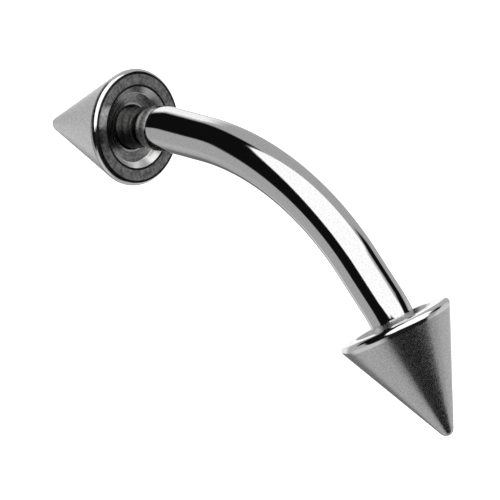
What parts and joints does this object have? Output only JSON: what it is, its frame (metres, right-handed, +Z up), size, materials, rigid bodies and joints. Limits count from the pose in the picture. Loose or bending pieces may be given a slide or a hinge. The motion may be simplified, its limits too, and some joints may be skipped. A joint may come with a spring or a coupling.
{
  "type": "eyebrow barbell",
  "caption": "Short curved bar with a threaded post at each end and cone spikes that screw onto the posts, for an eyebrow piercing.",
  "frame": {"origin": "on the surface that the barbell lies on, under the middle of its bounding box", "axes": "+Z up from the surface, +X along the chord from the left spike to the right spike, +Y towards the outside of the bend"},
  "size_m": [0.0146, 0.004, 0.003],
  "materials": {
    "polished_bar": "mirror-polished surgical steel",
    "satin_spike": "satin surgical steel with a polished rim"
  },
  "bodies": {
    "bar": {"curved_bar": "polished_bar"},
    "spike_left": {"left_spike": "satin_spike"},
    "spike_right": {"right_spike": "satin_spike"}
  },
  "joints": [
    {"name": "left_unscrew", "type": "slide", "parent": "bar", "child": "spike_left", "axis": [-0.8153, -0.5096, 0.275], "range_m": [-0.00077, 0.00043]},
    {"name": "right_unscrew", "type": "slide", "parent": "bar", "child": "spike_right", "axis": [0.8024, -0.5096, 0.3107], "range_m": [0, 0.0012]}
  ]
}
